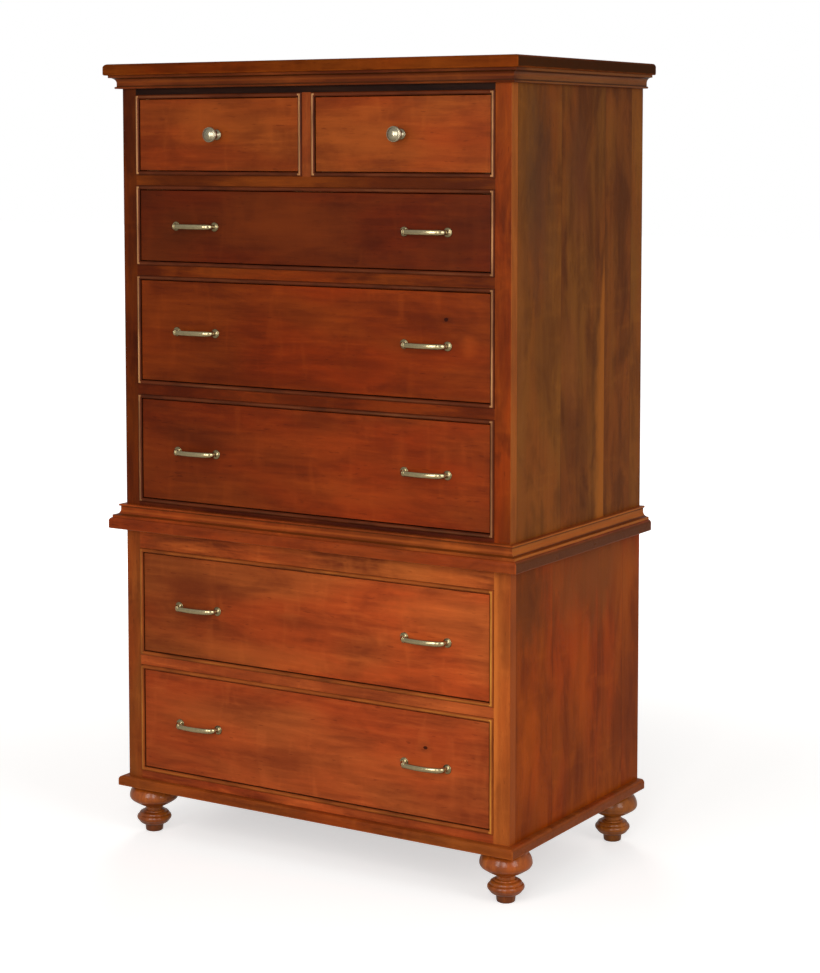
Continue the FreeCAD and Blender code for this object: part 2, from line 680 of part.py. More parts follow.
# ---- the whole piece -----------------------------------------------------------------------------
def case_nodes():
    nodes = {}
    upper_rails = {
        "upper_rail_bottom": (upper_z, upper_z + upper_bottom_rail),
        "upper_rail_rows_3_4": (row3_z - edge_to_front - rail_height, row3_z - edge_to_front),
        "upper_rail_rows_2_3": (row2_z - edge_to_front - rail_height, row2_z - edge_to_front),
        "upper_rail_rows_1_2": (row1_z - edge_to_front - rail_height, row1_z - edge_to_front),
        "upper_rail_top": (top_z - upper_top_rail, top_z),
    }
    lower_rails = {
        "lower_rail_bottom": (lower_z, lower_z + lower_bottom_rail),
        "lower_rail_rows_5_6": (row5_z - edge_to_front - rail_height, row5_z - edge_to_front),
        "lower_rail_top": (waist_z - lower_top_rail, waist_z),
    }
    for group in (upper_rails, lower_rails):
        for name, (z0, z1) in group.items():
            nodes[name] = [rail(z0, z1)]
    nodes["upper_stiles"] = stiles(upper_z, top_z, [nodes[n][0] for n in upper_rails])
    nodes["lower_stiles"] = stiles(lower_z, waist_z, [nodes[n][0] for n in lower_rails])
    nodes["upper_drawer_divider"] = [box(-divider_width / 2, divider_width / 2, face_y, frame_back_y,
                                         row1_z - edge_to_front, top_z - upper_top_rail)]
    nodes["upper_cock_beads"] = [s for d in DRAWERS[:5] for s in bead_frame(*d[1:])]
    nodes["lower_cock_beads"] = [s for d in DRAWERS[5:] for s in bead_frame(*d[1:])]

    for name, z0, z1 in (("upper", upper_z, top_z), ("lower", lower_z, waist_z)):
        right = side_panel(z0, z1)
        nodes[name + "_side_right"] = [right]
        nodes[name + "_side_left"] = [mirrored(right)]
        nodes[name + "_back_panel"] = [back_panel(z0, z1)]

    nodes["upper_inner_frames"] = (
        runner_level(row4_z, upper_z, False)
        + runner_level(row3_z, kicker_level(row4_z, wide_front_height), False)
        + runner_level(row2_z, kicker_level(row3_z, wide_front_height), False)
        + runner_level(row1_z, kicker_level(row2_z, small_front_height), True)
        + subframe(top_z, kicker_level(row1_z, small_front_height), True))
    nodes["lower_inner_frames"] = (
        runner_level(row6_z, lower_z, False)
        + runner_level(row5_z, kicker_level(row6_z, wide_front_height), False)
        + subframe(waist_z, kicker_level(row5_z, wide_front_height), False))

    nodes["top_board"] = [rounded_board(top_overhang, top_z, top_thick,
                                        board_top_radius, board_bottom_radius)]
    nodes["waist_board"] = [rounded_board(waist_overhang, waist_z, waist_thick,
                                          board_top_radius, board_bottom_radius)]
    nodes["base_board"] = [rounded_board(base_overhang, base_z, base_thick,
                                         base_top_radius, base_bottom_radius)]
    nodes["cornice_moulding"] = moulding(top_z, -1)
    nodes["waist_moulding"] = moulding(upper_z, 1)
    for name, (x, y) in FEET.items():
        nodes[name] = [foot(x, y)]
        socket = rod(foot_tenon_radius + hole_clearance, base_thick, V(x, y, base_z), V(0, 0, 1))
        nodes["base_board"][0] = nodes["base_board"][0].cut(socket)

    pairs = long_screws() + back_screws()
    nodes["case_screws"] = [screw for screw, hole in pairs]
    for name in ("top_board", "waist_board", "base_board", "upper_inner_frames", "lower_inner_frames",
                 "upper_back_panel", "lower_back_panel"):
        nodes[name] = [drilled(solid, [hole for screw, hole in pairs]) for solid in nodes[name]]
    return nodes


def drilled(solid, holes):
    """The solid without those holes that reach it."""
    near = [h for h in holes if h.BoundBox.intersect(solid.BoundBox)]
    return cut_all(solid, near)


def main():
    os.makedirs("parts", exist_ok=True)
    nodes = case_nodes()
    for drawer in DRAWERS:
        nodes.update(drawer_nodes(*drawer))
    for name, solids in nodes.items():
        solids = [s for shape in solids for s in shape.Solids]
        shape = solids[0] if len(solids) == 1 else Part.makeCompound(solids)
        if not shape.isValid():
            raise ValueError(name + " is not a valid shape")
        shape.exportStep("parts/" + name + ".step")
        b = shape.BoundBox
        print(f"{name}: {len(solids)} solids, x {b.XMin:.1f}..{b.XMax:.1f}, y {b.YMin:.1f}..{b.YMax:.1f}, "
              f"z {b.ZMin:.1f}..{b.ZMax:.1f}")


main()
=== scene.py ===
import logging
import math
from dataclasses import dataclass
from enum import Enum

import bmesh
import bpy
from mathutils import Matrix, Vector


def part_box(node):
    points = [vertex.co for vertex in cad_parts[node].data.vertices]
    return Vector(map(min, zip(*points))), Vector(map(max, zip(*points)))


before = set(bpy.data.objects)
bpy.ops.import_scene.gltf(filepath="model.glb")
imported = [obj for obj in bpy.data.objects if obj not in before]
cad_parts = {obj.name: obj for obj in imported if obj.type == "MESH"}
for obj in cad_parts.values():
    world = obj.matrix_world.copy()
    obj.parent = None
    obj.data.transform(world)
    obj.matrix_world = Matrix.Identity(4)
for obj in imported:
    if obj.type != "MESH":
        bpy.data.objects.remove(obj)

# Chest on chest: finishes, light and camera round the fixed cabinet model.
# Metres, +Z up, front towards -Y, origin on the floor in the middle of the footprint.

log = logging.getLogger("chest_on_chest")
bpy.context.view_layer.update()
Colour = tuple[float, float, float]
Point = tuple[float, float, float]
Span = tuple[float, float]
IMAGE_WIDTH = 820

# Places that the finishes are measured from.
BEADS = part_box("upper_cock_beads")
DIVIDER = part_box("upper_drawer_divider")
CASE_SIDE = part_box("upper_side_right")[1][0]
CASE_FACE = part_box("upper_stiles")[0][1]
TOP_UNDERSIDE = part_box("top_board")[0][2]
WAIST_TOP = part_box("waist_board")[1][2]
MITRE_LINE = CASE_SIDE + CASE_FACE          # |x| + y on the mitres of the mouldings
BEAD_NOSE = BEADS[0][1]
BEAD_REACH = 0.0046                         # half the width of the band that holds an upright bead
BEAD_SPARE = 0.0003                         # how far the band beside a stile reaches into the stile
BEAD_LINE = BEADS[1][0] + BEAD_SPARE - BEAD_REACH    # middle of the band beside a stile
DIVIDER_LINE = DIVIDER[1][0] + BEAD_REACH            # middle of the band beside the divider
DIVIDER_FOOT = DIVIDER[0][2]


def stain(code: str) -> Colour:
    """Turn a six-digit stain sample into linear light values.

    Args:
        code: The sample as six hexadecimal digits.

    Returns:
        Linear red, green and blue.
    """
    shares = [int(code[i:i + 2], 16) / 255 for i in (0, 2, 4)]
    linear = [v / 12.92 if v <= 0.04045 else ((v + 0.055) / 1.055) ** 2.4 for v in shares]
    return (linear[0], linear[1], linear[2])


def scaled(colour: Colour, *gains: float) -> Colour:
    """Multiply a colour by one gain, or by one gain for each of red, green and blue."""
    r, g, b = gains if len(gains) == 3 else gains * 3
    return (colour[0] * r, colour[1] * g, colour[2] * b)


# ---- shader building -----------------------------------------------------------------------------
class Value:
    """A node's output. A number adds its own Math nodes when it is used in an expression."""

    def __init__(self, sheet: "Sheet", socket: bpy.types.NodeSocket) -> None:
        """Wrap one output socket of a sheet."""
        self.sheet = sheet
        self.socket = socket

    def _math(self, operation: str, *terms: "Value | float") -> "Value":
        """Add one Math node and return its result."""
        return self.sheet.add("ShaderNodeMath", {"operation": operation}, dict(enumerate(terms)))

    def __add__(self, other: "Value | float") -> "Value":
        """Sum."""
        return self._math("ADD", self, other)

    def __radd__(self, other: float) -> "Value":
        """Sum with a plain number first."""
        return self._math("ADD", other, self)

    def __sub__(self, other: "Value | float") -> "Value":
        """Difference."""
        return self._math("SUBTRACT", self, other)

    def __rsub__(self, other: float) -> "Value":
        """Difference from a plain number."""
        return self._math("SUBTRACT", other, self)

    def __mul__(self, other: "Value | float") -> "Value":
        """Product."""
        return self._math("MULTIPLY", self, other)

    def __rmul__(self, other: float) -> "Value":
        """Product with a plain number first."""
        return self._math("MULTIPLY", other, self)

    def __truediv__(self, other: "Value | float") -> "Value":
        """Quotient."""
        return self._math("DIVIDE", self, other)

    def __rtruediv__(self, other: float) -> "Value":
        """Quotient of a plain number by this."""
        return self._math("DIVIDE", other, self)

    def __pow__(self, other: "Value | float") -> "Value":
        """Power."""
        return self._math("POWER", self, other)

    def __rpow__(self, other: float) -> "Value":
        """A plain number to the power of this."""
        return self._math("POWER", other, self)

    def __gt__(self, other: "Value | float") -> "Value":
        """One where this is greater, else zero."""
        return self._math("GREATER_THAN", self, other)

    def __lt__(self, other: "Value | float") -> "Value":
        """One where this is less, else zero."""
        return self._math("LESS_THAN", self, other)

    def sine(self) -> "Value":
        """Sine of this value in radians."""
        return self._math("SINE", self)

    def size(self) -> "Value":
        """Distance from zero."""
        return self._math("ABSOLUTE", self)

    def lowest(self, other: "Value | float") -> "Value":
        """The smaller of two values."""
        return self._math("MINIMUM", self, other)

    def highest(self, other: "Value | float") -> "Value":
        """The larger of two values."""
        return self._math("MAXIMUM", self, other)

    def pick(self, off: "Value | float", on: "Value | float") -> "Value":
        """Go from one value to another as this goes from zero to one."""
        return off + self * (on - off)

    def between(self, low: float, high: float, start: float = 0.0, end: float = 1.0) -> "Value":
        """Go softly from start at low to end at high, and hold both outside."""
        return self.sheet.add("ShaderNodeMapRange", {"interpolation_type": "SMOOTHSTEP", "clamp": True},
                              {0: self, 1: low, 2: high, 3: start, 4: end})


Place = tuple[Value, Value, Value]


class Sheet:
    """A node sheet and the ways to add nodes to it."""

    def __init__(self, tree: bpy.types.NodeTree) -> None:
        """Work on a node tree."""
        self.tree = tree
        self.tree.nodes.clear()

    def node(self, kind: str, settings: dict[str, object],
             inputs: dict[int | str, object]) -> bpy.types.Node:
        """Add a node: settings first, then its sockets.

        Args:
            kind: The node's type.
            settings: Attributes of the node.
            inputs: Values or links by socket index or name. None leaves a socket as it is.

        Returns:
            The node.
        """
        node = self.tree.nodes.new(kind)
        for key, setting in settings.items():
            setattr(node, key, setting)
        for key, value in inputs.items():
            socket = node.inputs[key]
            if isinstance(value, Value):
                self.tree.links.new(value.socket, socket)
            elif value is not None:
                socket.default_value = (*value, 1.0) if socket.type == "RGBA" else value
        return node

    def add(self, kind: str, settings: dict[str, object], inputs: dict[int | str, object],
            out: int | str = 0) -> Value:
        """Add a node as above and hand over one output, picked by index or name."""
        return Value(self, self.node(kind, settings, inputs).outputs[out])

    def mix(self, share: Value | float, first: Value | Colour, second: Value | Colour) -> Value:
        """Mix two colours.

        Args:
            share: How much of the second colour.
            first: The colour underneath.
            second: The colour on top.

        Returns:
            The mixed colour.
        """
        return self.add("ShaderNodeMix", {"data_type": "RGBA", "blend_type": "MIX", "clamp_factor": True},
                        {0: share, 6: first, 7: second}, 2)

    def split(self, coordinates: str) -> Place:
        """Take one set of texture coordinates apart.

        Args:
            coordinates: The set's name.

        Returns:
            Its x, y and z.
        """
        whole = self.add("ShaderNodeTexCoord", {}, {}, coordinates)
        x, y, z = self.node("ShaderNodeSeparateXYZ", {}, {0: whole}).outputs
        return Value(self, x), Value(self, y), Value(self, z)

    def place(self) -> Place:
        """The point on the piece, as x, y and z in metres."""
        return self.split("Object")

    def facing(self) -> Place:
        """The direction the surface faces, as x, y and z."""
        return self.split("Normal")

    def vector(self, x: Value | float, y: Value | float, z: Value | float) -> Value:
        """Join three numbers into a vector."""
        return self.add("ShaderNodeCombineXYZ", {}, {0: x, 1: y, 2: z})

    def noise(self, point: Value, scale: float = 1.0, detail: float = 2.0, roughness: float = 0.5,
              distortion: float = 0.0) -> Value:
        """Soft noise from zero to one.

        Args:
            point: Where to read it.
            scale: Waves per metre of the point.
            detail: Octaves.
            roughness: Strength of the finer octaves.
            distortion: How far the pattern is swirled.

        Returns:
            The noise value.
        """
        return self.add("ShaderNodeTexNoise", {"noise_dimensions": "3D"},
                        {"Vector": point, "Scale": scale, "Detail": detail, "Roughness": roughness,
                         "Distortion": distortion})


class Paint(Sheet):
    """The node sheet of one material."""

    def __init__(self, name: str) -> None:
        """Start an empty material.

        Args:
            name: The material's name.
        """
        self.material = bpy.data.materials.new(name)
        self.material.use_nodes = True
        super().__init__(self.material.node_tree)

    def surface(self, colour: Value | Colour, roughness: Value | float, height: Value | None = None,
                depth: float = 0.0, metallic: float = 0.0, coat: float = 0.0, coat_roughness: float = 0.2,
                specular: float = 0.5) -> Value:
        """Add the main shader.

        Args:
            colour: Base colour.
            roughness: Roughness.
            height: Relief for the bump, or none.
            depth: Depth of the relief in metres.
            metallic: How metallic the surface is.
            coat: Weight of the clear coat.
            coat_roughness: Roughness of the clear coat.
            specular: Specular level.

        Returns:
            The shader.
        """
        bump = None
        if height is not None:
            bump = self.add("ShaderNodeBump", {}, {"Strength": 1.0, "Distance": depth, "Height": height})
        return self.add("ShaderNodeBsdfPrincipled", {}, {
            "Base Color": colour, "Roughness": roughness, "Metallic": metallic, "Coat Weight": coat,
            "Coat Roughness": coat_roughness, "Specular IOR Level": specular, "Normal": bump})

    def finish(self, shader: Value) -> bpy.types.Material:
        """Put a shader on the surface and hand over the material."""
        self.node("ShaderNodeOutputMaterial", {}, {0: shader})
        return self.material


# ---- grain and marks -----------------------------------------------------------------------------
class Run(Enum):
    """The way that a fade runs, by the number of its axis."""

    ACROSS = 0
    UP = 2


def on_upright_bead(x: Value, z: Value) -> Value:
    """Mark the upright beads: beside the stiles, and beside the divider of the top row.

    Args:
        x: Place across the front.
        z: Height.

    Returns:
        One on an upright bead, zero on a level one.
    """
    by_divider = (x.size() - DIVIDER_LINE).size() + (1 - (z > DIVIDER_FOOT))
    return 1 - ((x.size() - BEAD_LINE).size().lowest(by_divider) > BEAD_REACH)


class Grain(Enum):
    """How the grain runs in a part."""

    ALONG_X = 0
    ALONG_Y = 1
    ALONG_Z = 2
    MITRED = 3
    BEADED = 4

    def lie(self, place: Place) -> Place:
        """Find the place along the grain and the two places across it.

        Args:
            place: The point as x, y and z.

        Returns:
            The place along the grain, then the two across it.
        """
        x, y, z = place
        if self is Grain.MITRED:
            side = (x.size() + y) > MITRE_LINE
            return side.pick(x, y), z, side.pick(y, x)
        if self is Grain.BEADED:
            upright = on_upright_bead(x, z)
            return upright.pick(x, z), y, upright.pick(z, x)
        if self is Grain.ALONG_X:
            return x, z, y
        if self is Grain.ALONG_Y:
            return y, z, x
        return z, y, x

    def end(self, facing: Place) -> Value | None:
        """How squarely the surface cuts the grain, or none where the grain turns a corner."""
        return None if self in (Grain.MITRED, Grain.BEADED) else facing[self.value].size()


@dataclass(frozen=True)
class Layer:
    """One layer of figure: its waves per metre along and across the grain, and the kind of noise."""

    along: float
    across: float
    octaves: float = 2.0
    crisp: float = 0.5
    swirl: float = 0.0

    def read(self, sheet: Sheet, lie: Place) -> Value:
        """Read the layer.

        Args:
            sheet: The material's node sheet.
            lie: The place along the grain, then the two across it.

        Returns:
            The layer's value from zero to one.
        """
        along, a, b = lie
        point = sheet.vector(along * self.along, a * self.across, b * self.across)
        return sheet.noise(point, 1.0, self.octaves, self.crisp, self.swirl)


@dataclass(frozen=True)
class LightFade:
    """A soft change of painted light and shade across or up the piece, from start at low to end at high."""

    low: float
    high: float
    start: float
    end: float
    run: Run = Run.ACROSS

    def gain(self, place: Place) -> Value:
        """The strength at a point."""
        return place[self.run.value].between(self.low, self.high, self.start, self.end)


@dataclass(frozen=True)
class Knot:
    """A small dark pin knot: its centre on the front, and its radius, drawn out along x by the squeeze."""

    SQUEEZE = 0.7

    x: float
    z: float
    radius: float = 0.0040

    def share(self, place: Place, swirl: Value) -> Value:
        """Find how strongly the knot and its halo show.

        Args:
            place: The point as x, y and z.
            swirl: Noise that bends the knot's outline.

        Returns:
            The knot's share, zero outside its halo.
        """
        dx = (place[0] - self.x) * self.SQUEEZE
        dz = place[2] - self.z
        gap = (dx * dx + dz * dz) ** 0.5 + (swirl - 0.5) * self.radius
        spot = gap.between(self.radius * 0.75, self.radius * 1.1, 0.96, 0.0)
        return spot.highest(gap.between(self.radius * 0.8, self.radius * 4.0, 0.28, 0.0))


@dataclass(frozen=True)
class Sapwood:
    """A pale streak beside a glue line of a side board: full width below low, tapering away at high.

    The tip is the share of its width that is left there, and it fades out over the last stretch.
    """

    TIP = 0.14
    FADE_OUT = 0.12

    edge: float
    width: float
    low: float
    high: float

    def share(self, place: Place, ragged: Value) -> Value:
        """Find how strongly the streak shows.

        Args:
            place: The point as x, y and z.
            ragged: Noise that breaks up the streak's outline.

        Returns:
            The streak's share, zero outside it.
        """
        taper = place[2].between(self.low, self.high, 1.0, self.TIP)
        off = (self.edge - place[1]) / (taper * self.width) + (ragged - 0.5) * 0.9
        inside = 1 - (place[1] > self.edge)
        end = place[2].between(self.high - self.FADE_OUT, self.high, 1.0, 0.0)
        return off.between(0.25, 1.0, 0.85, 0.0) * inside * end


@dataclass(frozen=True)
class Patch:
    """A soft patch in the stain: how dark it is, pale below zero, and its centre and reach on each axis.

    With a tone of its own it takes that colour, and the depth is only how strong it is.
    """

    depth: float
    x: Span | None = None
    y: Span | None = None
    z: Span | None = None
    tone: str = ""

    def share(self, place: Place, ragged: Value) -> Value:
        """Find how strongly the patch shows.

        Args:
            place: The point as x, y and z.
            ragged: Noise that breaks up the patch's outline.

        Returns:
            The patch's share, zero outside it.
        """
        gap: Value | float = 0.0
        for here, span in zip(place, (self.x, self.y, self.z)):
            if span:
                off = (here - span[0]) / span[1]
                gap = off * off + gap
        return (gap ** 0.5 + (ragged - 0.5) * 1.3).between(0.15, 1.25, abs(self.depth), 0.0)


# ---- finishes ------------------------------------------------------------------------------------
@dataclass(frozen=True)
class Cherry:
    """Stained and lacquered cherry.

    The tone is the middle colour, and lighter streaks and deeper figure are worked out from it. Seams are
    glue lines between boards, as places on the y axis. A light fade paints the fall of light and shade by
    making the whole tone darker or paler. The steps are how far apart in the wood two parts or two boards
    are cut, along the grain and across it.
    """

    DRIFT = Layer(1.4, 4.5)
    BLOTCH = Layer(5.5, 15.0, 4.0, 0.6, 0.7)
    STREAK = Layer(8.0, 80.0, 4.0, 0.62, 0.25)
    FINE = Layer(26.0, 430.0, 3.0, 0.6)
    CURL = Layer(30.0, 8.0, 2.0, 0.5, 0.5)
    HUE = Layer(2.6, 8.0)
    BOW = Layer(1.1, 2.4, 1.0, 0.4)
    PORE = Layer(110.0, 1700.0, 1.0, 0.4)
    FLECK = Layer(38.0, 190.0, 1.0, 0.4)
    BAND = Layer(1.6, 34.0, 3.0, 0.55)
    RAGGED = Layer(13.0, 34.0, 4.0, 0.65)
    RING_PITCH = 0.016
    SEAM = (0.0002, 0.0010)
    WORN_AND_HIGHLIT_EDGE = (0.0004, 0.0038)
    PART_STEP = (1.7, 0.31, 0.23)
    BOARD_STEP = (3.7, 0.61, 0.43)

    name: str
    tone: str
    grain: Grain = Grain.ALONG_X
    seed: float = 0.0
    blotch: float = 0.45
    streak: float = 0.26
    band: float = 0.0
    hue_swing: float = 1.0
    board_shift: float = 0.0
    seams: tuple[float, ...] = ()
    knots: tuple[Knot, ...] = ()
    patches: tuple[Patch, ...] = ()
    sapwood: tuple[Sapwood, ...] = ()
    light_fade: LightFade | None = None
    edge_tone: str = ""
    # The part whose outer edges are painted pale: rubbed wear and a painted highlight.
    rubbed_and_highlit: str = ""
    end_grain: float = 0.75
    sheen: float = 0.36
    gloss: float = 0.09
    coat: float = 0.0
    coat_sheen: float = 0.22
    relief: float = 0.00007

    def shades(self) -> tuple[Colour, Colour, Colour]:
        """The lightest, middle and deepest colours of the wood."""
        body = stain(self.tone)
        return scaled(body, 1.55, 1.85, 1.75), body, scaled(body, 0.42, 0.36, 0.42)

    def boards(self, place: Place) -> tuple[Value, Value]:
        """Number the boards of a glued panel.

        Args:
            place: The point as x, y and z.

        Returns:
            The board's number, and how close the point is to a glue line, from zero to one.
        """
        board = place[1] > self.seams[0]
        near = (place[1] - self.seams[0]).size()
        for seam in self.seams[1:]:
            board = board + (place[1] > seam)
            near = near.lowest((place[1] - seam).size())
        return board, near.between(*self.SEAM, 1.0, 0.0)

    def figure(self, sheet: Sheet, lie: Place, shade: Value | float) -> tuple[Value, Value, Value]:
        """Build the wood's figure.

        Args:
            sheet: The material's node sheet.
            lie: The place along the grain, then the two across it.
            shade: How much deeper this board is than the next.

        Returns:
            The colour, the roughness and the relief.
        """
        light, body, deep = self.shades()
        drift, blotch, streak, fine, curl, hue, bow, pore, fleck = (
            layer.read(sheet, lie) for layer in (self.DRIFT, self.BLOTCH, self.STREAK, self.FINE, self.CURL,
                                                 self.HUE, self.BOW, self.PORE, self.FLECK))
        across = lie[1] + lie[2] * 0.35 + bow * 0.17
        ring = (across * (2 * math.pi / self.RING_PITCH)).sine().between(-0.2, 1.0)
        swing = self.hue_swing
        redder = scaled(body, 1 + 0.06 * swing, 1 - 0.14 * swing, 1 - 0.22 * swing)
        browner = scaled(body, 1 - 0.04 * swing, 1 + 0.14 * swing, 1 + 0.12 * swing)
        dark = (blotch.between(0.38, 0.66) * self.blotch + streak.between(0.42, 0.66) * self.streak
                + ring * drift.between(0.42, 0.62) * 0.12 + fine.between(0.5, 0.8) * 0.10 + shade)
        if self.band:
            dark = dark + self.BAND.read(sheet, lie).between(0.36, 0.66, -0.4, 0.6) * self.band
        colour = sheet.mix(dark, sheet.mix(hue.between(0.36, 0.64), redder, browner), deep)
        pale = (drift.between(0.48, 0.80) * 0.42 + curl.between(0.52, 0.78) * 0.20
                + (1 - streak.between(0.30, 0.47)) * self.streak * 0.85 - shade * 0.8)
        colour = sheet.mix(pale, colour, light)
        colour = sheet.mix(fleck.between(0.70, 0.76) * 0.5, colour, deep)
        colour = sheet.mix(pore.between(0.63, 0.73) * 0.35, colour, deep)
        rough = streak * 0.12 + blotch * 0.08 + self.sheen - 0.10
        relief = fine * 0.5 + streak * 0.7 - pore.between(0.60, 0.72) * 0.8
        return colour, rough, relief

    def ends(self, sheet: Sheet, lie: Place, colour: Value) -> Value:
        """Darken end grain, and give the edges towards the sides their own tone.

        Args:
            sheet: The material's node sheet.
            lie: The place along the grain, then the two across it.
            colour: The colour so far.

        Returns:
            The colour with its ends.
        """
        facing = sheet.facing()
        squarely = self.grain.end(facing)
        if squarely is not None and self.end_grain:
            dull = scaled(self.shades()[2], 0.62, 0.95, 1.1)
            colour = sheet.mix(squarely.between(0.75, 0.97) * self.end_grain, colour, dull)
        if self.edge_tone:
            streak = self.STREAK.read(sheet, lie)
            edge = facing[0].size().between(0.45, 0.9) * streak.between(0.2, 0.75, 0.95, 0.55)
            colour = sheet.mix(edge, colour, stain(self.edge_tone))
        return colour

    def marks(self, sheet: Sheet, place: Place, lie: Place, colour: Value) -> Value:
        """Lay patches, knots and sapwood over the figure.

        Args:
            sheet: The material's node sheet.
            place: The point as x, y and z.
            lie: The place along the grain, then the two across it.
            colour: The colour so far.

        Returns:
            The colour with its marks.
        """
        light, _, deep = self.shades()
        ragged = self.RAGGED.read(sheet, lie)
        for patch in self.patches:
            own = deep if patch.depth > 0 else light
            colour = sheet.mix(patch.share(place, ragged), colour, stain(patch.tone) if patch.tone else own)
        if self.knots:
            swirl = sheet.noise(sheet.vector(*place), 170.0)
            for knot in self.knots:
                colour = sheet.mix(knot.share(place, swirl), colour, scaled(deep, 0.22))
        for sap in self.sapwood:
            colour = sheet.mix(sap.share(place, ragged), colour, scaled(light, 1.1, 0.95, 0.9))
        return colour

    def wear_and_highlight(self, sheet: Sheet, place: Place) -> Value:
        """Mark the outer edges of a part where the finish is rubbed thin, and where they catch a painted
        highlight.

        Args:
            sheet: The material's node sheet.
            place: The point as x, y and z.

        Returns:
            One on a rubbed and highlit edge, zero elsewhere.
        """
        low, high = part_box(self.rubbed_and_highlit)
        near = [(place[i] - low[i]).size().lowest((place[i] - high[i]).size()) for i in range(3)]
        first = near[0].lowest(near[1])
        rim = first.highest(near[0].highest(near[1]).lowest(near[2]))
        rub = sheet.noise(sheet.vector(*place), 38.0, 3.0, 0.6)
        return rim.between(*self.WORN_AND_HIGHLIT_EDGE, 1.0, 0.0) * rub.between(0.30, 0.62, 0.15, 1.0)

    def material(self) -> bpy.types.Material:
        """Build the finish.

        Returns:
            The material.
        """
        sheet = Paint(self.name)
        light, _, deep = self.shades()
        place = sheet.place()
        lie = self.grain.lie(place)
        shade: Value | float = 0.0
        glue: Value | None = None
        if self.seams:
            board, glue = self.boards(place)
            pick = sheet.add("ShaderNodeTexWhiteNoise", {"noise_dimensions": "1D"}, {"W": board + self.seed})
            shade = (pick - 0.5) * self.board_shift
            lie = tuple(way + board * step for way, step in zip(lie, self.BOARD_STEP))
        lie = tuple(way + self.seed * step for way, step in zip(lie, self.PART_STEP))

        colour, rough, relief = self.figure(sheet, lie, shade)
        colour = self.ends(sheet, lie, colour)
        colour = self.marks(sheet, place, lie, colour)
        # Pale edges: rubbed wear, and a painted highlight on the rounded corners.
        if self.rubbed_and_highlit:
            colour = sheet.mix(self.wear_and_highlight(sheet, place) * 0.7, colour, light)
        # Painted light and shade: the light fade scales the whole colour darker or paler.
        if self.light_fade:
            colour = sheet.add("ShaderNodeVectorMath", {"operation": "SCALE"},
                               {0: colour, "Scale": self.light_fade.gain(place)})
        if glue is not None:
            colour = sheet.mix(glue * 0.55, colour, scaled(deep, 0.5))
        return sheet.finish(sheet.surface(colour, rough, relief, self.relief, coat=self.coat,
                                          coat_roughness=self.coat_sheen, specular=self.gloss))


@dataclass(frozen=True)
class BeadCherry:
    """The fine beads round the drawers: dark glaze and painted shade in their quirks, and painted highlights
    on the noses.

    The light fade says how strongly the painted highlights show on the noses of the upright beads. The
    quirk shade is measured from the face of the case, and the nose highlight from the foremost line of
    the beads.
    """

    RUB = Layer(9.0, 50.0, 4.0, 0.65)
    FINE = Layer(40.0, 700.0, 2.0, 0.6)
    DRIFT = Layer(2.2, 4.0, 3.0, 0.6)
    QUIRK_SHADE = (0.0024, 0.0006)
    NOSE_HIGHLIGHT = (0.0001, 0.0007)

    name: str
    tone: str
    nose_highlight: str
    glaze_and_shade: str
    light_fade: LightFade = LightFade(0.93, 1.02, 0.45, 1.0, Run.UP)
    level_nose_highlight: float = 0.05
    seed: float = 0.0

    def material(self) -> bpy.types.Material:
        """Build the finish.

        Returns:
            The material.
        """
        sheet = Paint(self.name)
        place = sheet.place()
        along, a, b = Grain.BEADED.lie(place)
        lie = (along + self.seed, a, b)
        rub, fine, drift = (layer.read(sheet, lie) for layer in (self.RUB, self.FINE, self.DRIFT))
        glazed = rub.between(0.4, 0.7) * 0.6 + fine * 0.15
        colour = sheet.mix(glazed, stain(self.tone), stain(self.glaze_and_shade))
        # Painted shade: the glaze colour darkens the quirk where the bead meets the face of the case.
        quirk_shade = place[1].between(CASE_FACE - self.QUIRK_SHADE[0], CASE_FACE - self.QUIRK_SHADE[1], 0.0, 0.9)
        colour = sheet.mix(quirk_shade, colour, stain(self.glaze_and_shade))
        # Painted highlight: a pale band on the bead noses, strong on the upright beads and faint on the level
        # ones.
        highlight_band = place[1].between(BEAD_NOSE + self.NOSE_HIGHLIGHT[0], BEAD_NOSE + self.NOSE_HIGHLIGHT[1], 1.0, 0.0)
        level = drift.between(0.44, 0.66, 0.3, 2.4) * self.level_nose_highlight
        upright = self.light_fade.gain(place) * drift.between(0.30, 0.62, 0.6, 1.0)
        share = on_upright_bead(place[0], place[2]).pick(level, upright)
        colour = sheet.mix(highlight_band * share * rub.between(0.34, 0.62, 1.0, 0.5), colour, stain(self.nose_highlight))
        return sheet.finish(sheet.surface(colour, rub * 0.12 + 0.34, fine, 0.00004, specular=0.10))


